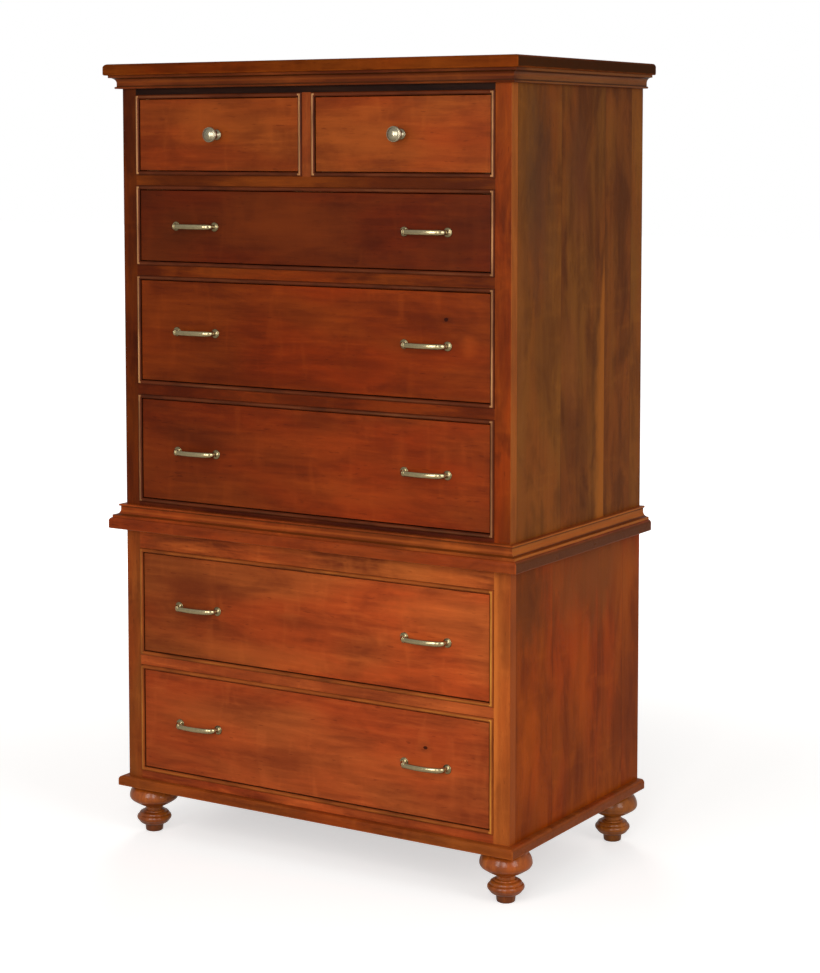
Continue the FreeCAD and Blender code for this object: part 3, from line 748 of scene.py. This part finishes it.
@dataclass(frozen=True)
class PlainWood:
    """Unstained wood for the parts inside: a soft straight grain with a light sealer or none."""

    DRIFT = Layer(1.5, 6.0, 3.0, 0.55)
    BOW = Layer(1.0, 2.5, 1.0)
    STREAK = Layer(7.0, 220.0, 3.0, 0.6)
    RING_PITCH = 0.011
    PLY_PITCH = 0.0024

    name: str
    body: str
    deep: str
    grain: Grain = Grain.ALONG_X
    rough: float = 0.55
    plies: bool = False

    def material(self) -> bpy.types.Material:
        """Build the finish.

        Returns:
            The material.
        """
        sheet = Paint(self.name)
        deep = stain(self.deep)
        place = sheet.place()
        facing = sheet.facing()
        lie = self.grain.lie(place)
        drift, bow, streak = (layer.read(sheet, lie) for layer in (self.DRIFT, self.BOW, self.STREAK))
        across = lie[1] + lie[2] * 0.4 + bow * 0.22 + drift * 0.012
        ring = (across * (2 * math.pi / self.RING_PITCH)).sine().between(-0.4, 1.0)
        dark = (drift.between(0.35, 0.7) * 0.4 + ring * bow.between(0.35, 0.65, 0.05, 0.24)
                + streak.between(0.4, 0.75) * 0.36)
        colour = sheet.mix(dark, stain(self.body), deep)
        if self.plies:
            layer = ((place[2] * (2 * math.pi / self.PLY_PITCH)).sine() > 0.0) * 0.5
            edge = 1 - facing[2].size().between(0.4, 0.8)
            colour = sheet.mix(layer * edge, colour, deep)
        colour = sheet.mix(self.grain.end(facing).between(0.8, 0.98) * 0.45, colour, deep)
        return sheet.finish(sheet.surface(colour, streak * 0.12 + self.rough, streak, 0.00008,
                                          specular=0.35))


@dataclass(frozen=True)
class SatinNickel:
    """Satin nickel, warm and aged, with painted shade underneath and on the left, and darker near the surface
    it stands on.
    """

    BRUSHED = Layer(260.0, 900.0, 2.0, 0.6)
    # Reach of the darkening towards the case face.
    FACE_DARKENING_REACH = 0.006

    name: str
    bright: str
    aged_and_shaded: str
    rough: float = 0.20

    def material(self) -> bpy.types.Material:
        """Build the finish.

        Returns:
            The material.
        """
        sheet = Paint(self.name)
        place = sheet.place()
        facing = sheet.facing()
        patch = sheet.noise(sheet.vector(*place), 110.0, 4.0, 0.6)
        fine = self.BRUSHED.read(sheet, place)
        # Random aged patches, painted shade on faces turned down or to the left, and darkening near the case
        # face.
        aged_and_shaded = (patch.between(0.40, 0.70) * 0.16
                + place[1].between(CASE_FACE - self.FACE_DARKENING_REACH, CASE_FACE, 0.0, 0.6)
                + facing[2].between(-0.9, -0.1, 0.5, 0.0) + facing[0].between(-0.95, -0.15, 0.45, 0.0))
        colour = sheet.mix(aged_and_shaded, stain(self.bright), stain(self.aged_and_shaded))
        rough = patch * 0.08 + fine * 0.05 + self.rough - 0.06
        return sheet.finish(sheet.surface(colour, rough, fine, 0.00001, metallic=1.0))


def dress(node: str, material: bpy.types.Material) -> None:
    """Give one fixed part its finish.

    Args:
        node: The part's name.
        material: The finish.
    """
    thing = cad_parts[node]
    thing.data.materials.clear()
    thing.data.materials.append(material)
    log.info("dressed %s in %s", node, material.name)


# ---- the two cases -------------------------------------------------------------------------------
@dataclass(frozen=True)
class Rail:
    """A rail: its name, its tone, and stains along it, each with its middle, reach and depth."""

    node: str
    tone: str
    stains: tuple[tuple[float, float, float], ...] = ()


@dataclass
class FaceFrames:
    """Rails, stiles and the divider of both cases."""

    rails: tuple[Rail, ...] = (
        # The top rail's very dark tone partly paints the shade under the cornice.
        Rail("upper_rail_top", "251209"),
        Rail("upper_rail_rows_1_2", "722F09", ((-0.30, 0.14, 0.75), (0.24, 0.20, 0.8), (-0.02, 0.12, -0.3))),
        Rail("upper_rail_rows_2_3", "752E09", ((-0.42, 0.06, 0.85), (0.33, 0.10, 0.35),
                                               (-0.15, 0.18, -0.25))),
        Rail("upper_rail_rows_3_4", "742B09", ((-0.34, 0.13, 0.95), (0.02, 0.14, 0.5), (0.22, 0.10, -0.3),
                                               (0.40, 0.06, 0.5))),
        Rail("upper_rail_bottom", "5B2009", ((-0.16, 0.13, 0.7), (0.20, 0.22, 0.75), (-0.36, 0.08, -0.3))),
        Rail("lower_rail_top", "A74F21", ((-0.05, 0.05, 0.45), (0.30, 0.12, -0.3), (-0.40, 0.04, 0.4))),
        Rail("lower_rail_rows_5_6", "AA4C22", ((-0.20, 0.20, 0.5), (0.12, 0.14, 0.55), (0.37, 0.07, -0.4))),
        Rail("lower_rail_bottom", "B34F23", ((-0.35, 0.10, 0.5), (0.24, 0.20, 0.45), (-0.02, 0.10, -0.3))),
    )
    # The stiles' light fades paint the light falling off across the front: the left stile darker, the right
    # paler.
    upper_stiles: Cherry = Cherry(
        "upper_stile_wood", "7D3309", Grain.ALONG_Z, seed=5.3, blotch=0.75, light_fade=LightFade(-0.5, 0.5, 0.60, 1.22),
        edge_tone="A0581E", patches=(
            Patch(0.6, x=(-0.462, 0.04), z=(1.56, 0.12)),
            Patch(0.55, x=(0.466, 0.02), z=(1.10, 0.10)),
            Patch(0.5, x=(0.466, 0.02), z=(0.76, 0.07))))
    lower_stiles: Cherry = Cherry(
        "lower_stile_wood", "9D4D1E", Grain.ALONG_Z, seed=8.8, blotch=0.5, light_fade=LightFade(-0.5, 0.5, 0.78, 1.10),
        edge_tone="9E4A16", patches=(
            Patch(-1.0, x=(0.446, 0.009), z=(0.40, 0.34)),
            Patch(0.45, x=(0.472, 0.014), z=(0.56, 0.09))))
    divider: Cherry = Cherry("divider_wood", "89431C", Grain.ALONG_Z, seed=2.2)

    def build(self) -> None:
        """Dress the frames."""
        for i, rail in enumerate(self.rails):
            patches = tuple(Patch(depth, x=(middle, reach)) for middle, reach, depth in rail.stains)
            dress(rail.node, Cherry(rail.node + "_wood", rail.tone, seed=3.1 + i * 1.37, blotch=0.65,
                                    streak=0.5, patches=patches).material())
        dress("upper_stiles", self.upper_stiles.material())
        dress("lower_stiles", self.lower_stiles.material())
        dress("upper_drawer_divider", self.divider.material())


@dataclass
class SidePanels:
    """Side panels glued up from upright boards of differing tone."""

    upper: Cherry = Cherry(
        "upper_side_wood", "864A18", Grain.ALONG_Z, seed=1.9, blotch=0.62, streak=0.08, band=0.22, gloss=0.07,
        board_shift=0.22, sheen=0.42, hue_swing=0.7, seams=(-0.246, -0.065, 0.127, 0.247),
        # The upper side's light fade paints less light towards its top.
        light_fade=LightFade(0.7, 1.7, 1.06, 0.92, Run.UP), sapwood=(Sapwood(0.127, 0.056, 0.98, 1.32),), patches=(
            Patch(0.6, y=(-0.165, 0.08), z=(1.42, 0.26), tone="4C3020"),
            Patch(0.35, y=(0.0, 0.05), z=(1.48, 0.12), tone="4C3320"),
            Patch(0.35, y=(-0.14, 0.06), z=(1.10, 0.14)),
            Patch(0.35, y=(0.20, 0.06), z=(1.40, 0.14)),
            Patch(0.45, y=(0.01, 0.06), z=(0.90, 0.07)),
            Patch(0.4, y=(-0.06, 0.04), z=(0.80, 0.05)),
            Patch(0.45, y=(-0.235, 0.03), z=(1.10, 0.42), tone="8E5222"),
            Patch(-0.4, y=(0.285, 0.03), z=(1.5, 0.13)),
            Patch(-0.3, y=(0.15, 0.03), z=(1.52, 0.12)),
            Patch(0.4, y=(0.02, 0.05), z=(1.42, 0.16), tone="7E3E1C"),
            Patch(0.4, y=(-0.02, 0.04), z=(1.04, 0.14), tone="8A4A20")))
    lower: Cherry = Cherry(
        "lower_side_wood", "A64609", Grain.ALONG_Z, seed=6.4, blotch=0.58, streak=0.08, band=0.20, gloss=0.07,
        board_shift=0.16, sheen=0.42, hue_swing=0.9, seams=(-0.246, -0.095, 0.105, 0.220), patches=(
            # The first two patches paint the shade under the waist board along the top of the lower side.
            Patch(0.75, y=(0.08, 0.24), z=(0.62, 0.13), tone="85481C"),
            Patch(0.6, y=(-0.20, 0.11), z=(0.60, 0.12), tone="4E2C10"),
            Patch(0.45, y=(-0.26, 0.03), z=(0.36, 0.34), tone="6A2C10"),
            Patch(0.5, y=(0.25, 0.06), z=(0.30, 0.16)),
            Patch(0.4, y=(-0.20, 0.07), z=(0.15, 0.06)),
            Patch(0.35, y=(0.04, 0.05), z=(0.22, 0.08)),
            Patch(-0.4, y=(-0.19, 0.05), z=(0.33, 0.13)),
            Patch(-0.3, y=(0.23, 0.06), z=(0.58, 0.09)),
            Patch(-0.3, y=(0.03, 0.05), z=(0.42, 0.14))))

    def build(self) -> None:
        """Dress the sides."""
        for case, finish in (("upper", self.upper), ("lower", self.lower)):
            material = finish.material()
            for hand in ("left", "right"):
                dress(f"{case}_side_{hand}", material)


@dataclass(frozen=True)
class Board:
    """A board between or on the cases: its name, the tones of its face and ends, and its lacquer."""

    node: str
    tone: str
    edge_tone: str
    sheen: float = 0.30
    gloss: float = 0.09


@dataclass(frozen=True)
class Moulding:
    """A mitred cove moulding: its name, its tones, and the board face that it runs away from."""

    node: str
    tone: str
    side_tone: str
    quirk_shade_tone: str
    board_face: float
    away: int
    stains: tuple[Patch, ...]

    def quirk_shade_and_cove_light(self) -> tuple[Patch, ...]:
        """Work out the painted shade and light along the moulding.

        Returns:
            Dark glaze that paints the shade in the two quirks, and a paler stretch that paints the light on
            the cove between them.
        """
        lines = ((0.0068, 0.0018, 0.9, self.quirk_shade_tone), (0.0232, 0.0020, 0.85, self.quirk_shade_tone),
                 (0.0140, 0.0030, -0.35, ""))
        return tuple(Patch(depth, z=(self.board_face + self.away * drop, reach), tone=tone)
                     for drop, reach, depth, tone in lines)


# Stains along the fronts of the mouldings, and at the right corner of the upper one.
CORNER_STAIN = Patch(0.9, x=(0.47, 0.09), y=(-0.29, 0.05))
FRONT_STAINS = (Patch(0.6, x=(0.12, 0.14), y=(-0.29, 0.05)), Patch(0.5, x=(-0.22, 0.14), y=(-0.29, 0.05)))


@dataclass
class BoardsAndMouldings:
    """Top, waist and base boards with their mouldings."""

    glue_lines: tuple[float, ...] = (-0.12, 0.03, 0.17)
    boards: tuple[Board, ...] = (
        Board("top_board", "743109", "3C220E", sheen=0.58, gloss=0.03),
        Board("waist_board", "8B3A16", "66340F"),
        Board("base_board", "944518", "96481A"),
    )
    mouldings: tuple[Moulding, ...] = (
        # The fourth tone of each moulding is the dark glaze that paints the shade in its quirks.
        Moulding("cornice_moulding", "773512", "8A5220", "42200A", TOP_UNDERSIDE, -1,
                 (CORNER_STAIN, *FRONT_STAINS)),
        Moulding("waist_moulding", "9A4518", "BA6A22", "5E2C0C", WAIST_TOP, 1, FRONT_STAINS),
    )

    def build(self) -> None:
        """Dress the boards and mouldings."""
        for i, board in enumerate(self.boards):
            dress(board.node, Cherry(
                board.node + "_wood", board.tone, seed=11.0 + i * 2.3, board_shift=0.15, blotch=0.55,
                seams=self.glue_lines, rubbed_and_highlit=board.node, sheen=board.sheen, gloss=board.gloss,
                edge_tone=board.edge_tone).material())
        for i, moulding in enumerate(self.mouldings):
            dress(moulding.node, Cherry(
                moulding.node + "_wood", moulding.tone, Grain.MITRED, seed=21.0 + i * 1.9, blotch=0.6,
                sheen=0.30, edge_tone=moulding.side_tone,
                patches=moulding.stains + moulding.quirk_shade_and_cove_light()).material())


@dataclass
class CockBeads:
    """The beads round every drawer opening."""

    # The third tone of each bead finish is its painted nose highlight; the fourth is its glaze, which also
    # paints the quirk shade.
    upper: BeadCherry = BeadCherry("upper_bead_wood", "602810", "CC9460", "2A1006", seed=1.3)
    lower: BeadCherry = BeadCherry("lower_bead_wood", "9A4C1E", "C88434", "4A1E0C",
                                   light_fade=LightFade(-0.3, 0.3, 0.5, 1.0), level_nose_highlight=0.16, seed=4.1)

    def build(self) -> None:
        """Dress the beads."""
        dress("upper_cock_beads", self.upper.material())
        dress("lower_cock_beads", self.lower.material())


@dataclass
class Carcass:
    """Backs, inner frames and screws."""

    back: PlainWood = PlainWood("back_panel_wood", "9A6A42", "74482A", Grain.ALONG_Z, 0.6)
    runner: PlainWood = PlainWood("runner_wood", "C49A6C", "9C7246", Grain.ALONG_Y, 0.65)
    screw: SatinNickel = SatinNickel("screw_steel", "B8B4AC", "807C74", 0.34)

    def build(self) -> None:
        """Dress the parts behind and between the drawers."""
        back = self.back.material()
        runner = self.runner.material()
        for case in ("upper", "lower"):
            dress(case + "_back_panel", back)
            dress(case + "_inner_frames", runner)
        dress("case_screws", self.screw.material())


@dataclass
class Feet:
    """Turned feet, with painted shade darkening them where they meet the floor."""

    nodes: tuple[str, ...] = ("foot_front_left", "foot_front_right", "foot_rear_left", "foot_rear_right")
    tone: str = "A8581C"
    # Painted shade: the colour is scaled from half at the floor to full a few centimetres up.
    floor_shade: LightFade = LightFade(0.0, 0.035, 0.5, 1.08, Run.UP)

    def build(self) -> None:
        """Dress the feet."""
        for i, node in enumerate(self.nodes):
            dress(node, Cherry(
                node + "_wood", self.tone, Grain.ALONG_Z, seed=41.0 + i * 2.1, blotch=0.7, end_grain=0.0,
                sheen=0.30, gloss=0.12, coat=0.6, coat_sheen=0.18, relief=0.00002,
                light_fade=self.floor_shade).material())


# ---- drawers -------------------------------------------------------------------------------------
class Metalwork(Enum):
    """What a drawer is opened by."""

    PULLS = "_pulls"
    KNOB = "_knob"


@dataclass(frozen=True)
class Drawer:
    """One drawer: its front's tone, painted fall of light and marks, the box behind it and its metalwork."""

    name: str
    tone: str
    seed: float
    metalwork: Metalwork = Metalwork.PULLS
    light_fade: LightFade | None = None
    patches: tuple[Patch, ...] = ()
    knots: tuple[Knot, ...] = ()

    def build(self, box_wood: bpy.types.Material, bottom_wood: bpy.types.Material,
              metal: bpy.types.Material) -> None:
        """Dress the drawer.

        Args:
            box_wood: Finish of the sides and back.
            bottom_wood: Finish of the bottom.
            metal: Finish of the pulls or knob.
        """
        front = Cherry(self.name + "_front_wood", self.tone, seed=self.seed, light_fade=self.light_fade,
                       knots=self.knots, patches=self.patches)
        dress(self.name + "_front", front.material())
        dress(self.name + "_box", box_wood)
        dress(self.name + "_bottom", bottom_wood)
        dress(self.name + self.metalwork.value, metal)


@dataclass
class DrawerSet:
    """All seven drawers."""

    box_wood: PlainWood = PlainWood("drawer_box_wood", "CBA675", "A57B4B", Grain.ALONG_Y, 0.45)
    bottom_wood: PlainWood = PlainWood("drawer_bottom_wood", "C9A678", "A88454", Grain.ALONG_X, 0.5, True)
    pulls: SatinNickel = SatinNickel("pull_nickel", "B8AA84", "5A4824", 0.20)
    knobs: SatinNickel = SatinNickel("knob_nickel", "B4AA90", "5E5030", 0.26)
    # Each front's light fade paints less light on its left end than on its right.
    drawers: tuple[Drawer, ...] = (
        Drawer("drawer_1_left", "8C3D15", 1.0, Metalwork.KNOB, LightFade(-0.43, -0.02, 0.95, 1.02), patches=(
            Patch(-0.35, x=(-0.26, 0.10), z=(1.55, 0.05)),
            Patch(0.4, x=(-0.12, 0.10), z=(1.47, 0.03)))),
        Drawer("drawer_1_right", "964318", 2.4, Metalwork.KNOB, LightFade(0.02, 0.43, 0.93, 1.07), patches=(
            Patch(0.4, x=(0.40, 0.07), z=(1.51, 0.06)),
            Patch(-0.3, x=(0.14, 0.09), z=(1.53, 0.05)))),
        Drawer("drawer_2", "622409", 3.9, light_fade=LightFade(-0.43, 0.43, 0.85, 1.02), patches=(
            Patch(0.6, x=(0.165, 0.055), z=(1.318, 0.024)),
            Patch(-0.5, x=(-0.04, 0.20), z=(1.34, 0.07)),
            Patch(0.35, x=(0.38, 0.08), z=(1.33, 0.08)))),
        Drawer("drawer_3", "80300B", 5.2, light_fade=LightFade(-0.43, 0.20, 0.86, 1.02), patches=(
            Patch(0.6, x=(0.285, 0.05), z=(1.160, 0.028)),
            Patch(0.5, x=(0.11, 0.09), z=(1.070, 0.022)),
            Patch(0.6, x=(-0.16, 0.30), z=(1.025, 0.026)),
            Patch(-0.55, x=(0.385, 0.025), z=(1.115, 0.025)),
            Patch(0.3, x=(0.00, 0.08), z=(1.160, 0.018))), knots=(Knot(0.333, 1.1675),)),
        Drawer("drawer_4", "85330F", 6.7, light_fade=LightFade(-0.47, 0.20, 0.62, 1.06), patches=(
            Patch(0.5, x=(0.02, 0.13), z=(0.945, 0.022)),
            Patch(0.4, x=(-0.28, 0.09), z=(0.88, 0.05)),
            Patch(-0.3, x=(0.10, 0.20), z=(0.80, 0.04)))),
        Drawer("drawer_5", "AA4D21", 8.1, light_fade=LightFade(-0.48, 0.35, 0.62, 1.12), patches=(
            Patch(0.55, x=(-0.29, 0.12), z=(0.575, 0.035)),
            Patch(0.45, x=(-0.04, 0.10), z=(0.520, 0.02)),
            Patch(0.45, x=(0.14, 0.10), z=(0.485, 0.022)),
            Patch(-0.4, x=(-0.10, 0.26), z=(0.440, 0.03)),
            Patch(-0.3, x=(0.30, 0.14), z=(0.580, 0.03)))),
        Drawer("drawer_6", "A64A21", 9.6, light_fade=LightFade(-0.43, 0.20, 0.88, 1.02), patches=(
            Patch(0.55, x=(-0.07, 0.16), z=(0.225, 0.032)),
            Patch(0.4, x=(0.37, 0.09), z=(0.200, 0.04)),
            Patch(-0.35, x=(0.26, 0.16), z=(0.255, 0.025)),
            Patch(-0.3, x=(-0.30, 0.12), z=(0.30, 0.04))), knots=(Knot(0.285, 0.300),)),
    )

    def build(self) -> None:
        """Dress every drawer."""
        box_wood = self.box_wood.material()
        bottom_wood = self.bottom_wood.material()
        metal = {Metalwork.PULLS: self.pulls.material(), Metalwork.KNOB: self.knobs.material()}
        for drawer in self.drawers:
            drawer.build(box_wood, bottom_wood, metal[drawer.metalwork])


# ---- floor, light and camera ---------------------------------------------------------------------
WHITE: Colour = (1.0, 1.0, 1.0)
WARM_WHITE: Colour = (1.0, 0.98, 0.95)


@dataclass(frozen=True)
class Lamp:
    """A tall soft lamp: the middle of its face, its size, its watts, and whether gloss shows it."""

    name: str
    place: Point
    width: float
    height: float
    power: float
    glints: bool = True

    def hang(self, aim: Point) -> None:
        """Hang the lamp so that it faces a point.

        Args:
            aim: The point.
        """
        data = bpy.data.lights.new(self.name, "AREA")
        data.shape = "RECTANGLE"
        data.size = self.width
        data.size_y = self.height
        data.energy = self.power
        data.color = WARM_WHITE
        thing = bpy.data.objects.new(self.name, data)
        bpy.context.scene.collection.objects.link(thing)
        thing.location = self.place
        thing.visible_glossy = self.glints
        thing.rotation_euler = (Vector(aim) - Vector(self.place)).to_track_quat("-Z", "Y").to_euler()
        log.info("hung %s", self.name)


@dataclass(frozen=True)
class Camera:
    """A camera at shoulder height that looks a little down on the front and the right side.

    The focal length and the rise of the lens's axis above the middle of the frame are in pixels.
    """

    place: Point = (2.60571, -4.04405, 1.50691)
    turn: float = 0.55829
    tilt: float = 0.07994
    focal_px: float = 2238.23
    rise_px: float = 160.0
    sensor: float = 36.0

    def stand(self) -> None:
        """Place the camera and make it the scene's own."""
        data = bpy.data.cameras.new("studio_camera")
        data.sensor_fit = "HORIZONTAL"
        data.sensor_width = self.sensor
        data.lens = self.focal_px / IMAGE_WIDTH * self.sensor
        data.shift_y = -self.rise_px / IMAGE_WIDTH
        data.clip_end = 100.0
        thing = bpy.data.objects.new("studio_camera", data)
        bpy.context.scene.collection.objects.link(thing)
        thing.location = self.place
        thing.rotation_euler = (math.pi / 2 - self.tilt, 0.0, self.turn)
        bpy.context.scene.camera = thing
        log.info("placed %s", thing.name)


@dataclass
class Studio:
    """A plain pale floor, soft light and the camera."""

    floor_size: float = 60.0
    floor_tone: Colour = (0.56, 0.50, 0.42)
    floor_seen: float = 0.80
    near_lift: float = 0.55
    lift_span: Span = (0.9, 3.5)
    dim_air: float = 0.12
    bright_air: float = 0.42
    gloss_share: float = 0.22
    aim: Point = (0.0, 0.0, 0.9)
    camera: Camera = Camera()
    lamps: tuple[Lamp, ...] = (
        Lamp("left_key_lamp", (0.0, -3.5, 1.75), 0.95, 2.4, 37.0),
        Lamp("right_key_lamp", (1.62, -3.2, 1.75), 0.95, 2.4, 37.0),
        Lamp("side_lamp", (3.4, -1.3, 1.7), 1.2, 2.4, 34.0),
        Lamp("rear_lamp", (-2.2, 3.4, 2.2), 1.6, 1.8, 60.0, glints=False),
    )

    def seen(self, sheet: Sheet) -> Value:
        """How far a ray sees the white surroundings: the camera wholly, reflections in part.

        Args:
            sheet: The node sheet of the floor or the world.

        Returns:
            One for the camera and behind glass, the gloss share for reflections, else zero.
        """
        path = sheet.node("ShaderNodeLightPath", {}, {}).outputs
        camera, glossy, clear = (Value(sheet, path[f"Is {ray} Ray"])
                                 for ray in ("Camera", "Glossy", "Transmission"))
        return camera.highest(clear).highest(glossy * self.gloss_share)

    def floor(self) -> None:
        """A pale floor that keeps the shadow of the piece."""
        mesh = bpy.data.meshes.new("studio_floor")
        build = bmesh.new()
        bmesh.ops.create_grid(build, x_segments=2, y_segments=2, size=self.floor_size / 2)
        build.to_mesh(mesh)
        build.free()
        thing = bpy.data.objects.new("studio_floor", mesh)
        bpy.context.scene.collection.objects.link(thing)
        sheet = Paint("studio_floor_paint")
        x, y, z = sheet.place()
        speck = sheet.noise(sheet.vector(x, y, z), 14.0, 3.0)
        plain = sheet.surface(self.floor_tone, speck * 0.1 + 0.7, specular=0.1)
        far = (x * x + y * y) ** 0.5
        lift = sheet.mix(far.between(*self.lift_span), scaled(WHITE, self.near_lift), WHITE)
        pale = sheet.add("ShaderNodeBsdfDiffuse", {}, {"Color": scaled(WHITE, self.floor_seen)})
        glow = sheet.add("ShaderNodeEmission", {}, {"Color": lift})
        bright = sheet.add("ShaderNodeAddShader", {}, {0: pale, 1: glow})
        both = sheet.add("ShaderNodeMixShader", {}, {0: self.seen(sheet), 1: plain, 2: bright})
        mesh.materials.append(sheet.finish(both))
        log.info("laid %s", thing.name)

    def world(self) -> None:
        """Pale surroundings, brighter in front and on the right, and white where the camera sees them."""
        world = bpy.data.worlds.new("studio_air")
        bpy.context.scene.world = world
        world.use_nodes = True
        sheet = Sheet(world.node_tree)
        x, y, _ = sheet.split("Generated")
        air = (x * 0.5 - y * 0.87).between(-1.0, 1.0, self.dim_air, self.bright_air)
        light = sheet.add("ShaderNodeBackground", {}, {"Color": WARM_WHITE, "Strength": air})
        white = sheet.add("ShaderNodeBackground", {}, {"Color": WHITE, "Strength": 1.0})
        both = sheet.add("ShaderNodeMixShader", {}, {0: self.seen(sheet), 1: light, 2: white})
        sheet.node("ShaderNodeOutputWorld", {}, {0: both})

    def build(self) -> None:
        """Set up everything round the piece."""
        self.floor()
        self.world()
        for lamp in self.lamps:
            lamp.hang(self.aim)
        self.camera.stand()


def main() -> None:
    """Dress the cabinet, then set the studio."""
    logging.basicConfig(level=logging.INFO, format="%(name)s: %(message)s")
    bpy.context.scene.view_settings.view_transform = "Standard"
    for part in (FaceFrames(), SidePanels(), BoardsAndMouldings(), CockBeads(), Carcass(), Feet(),
                 DrawerSet(), Studio()):
        part.build()


if __name__ == "__main__":
    main()
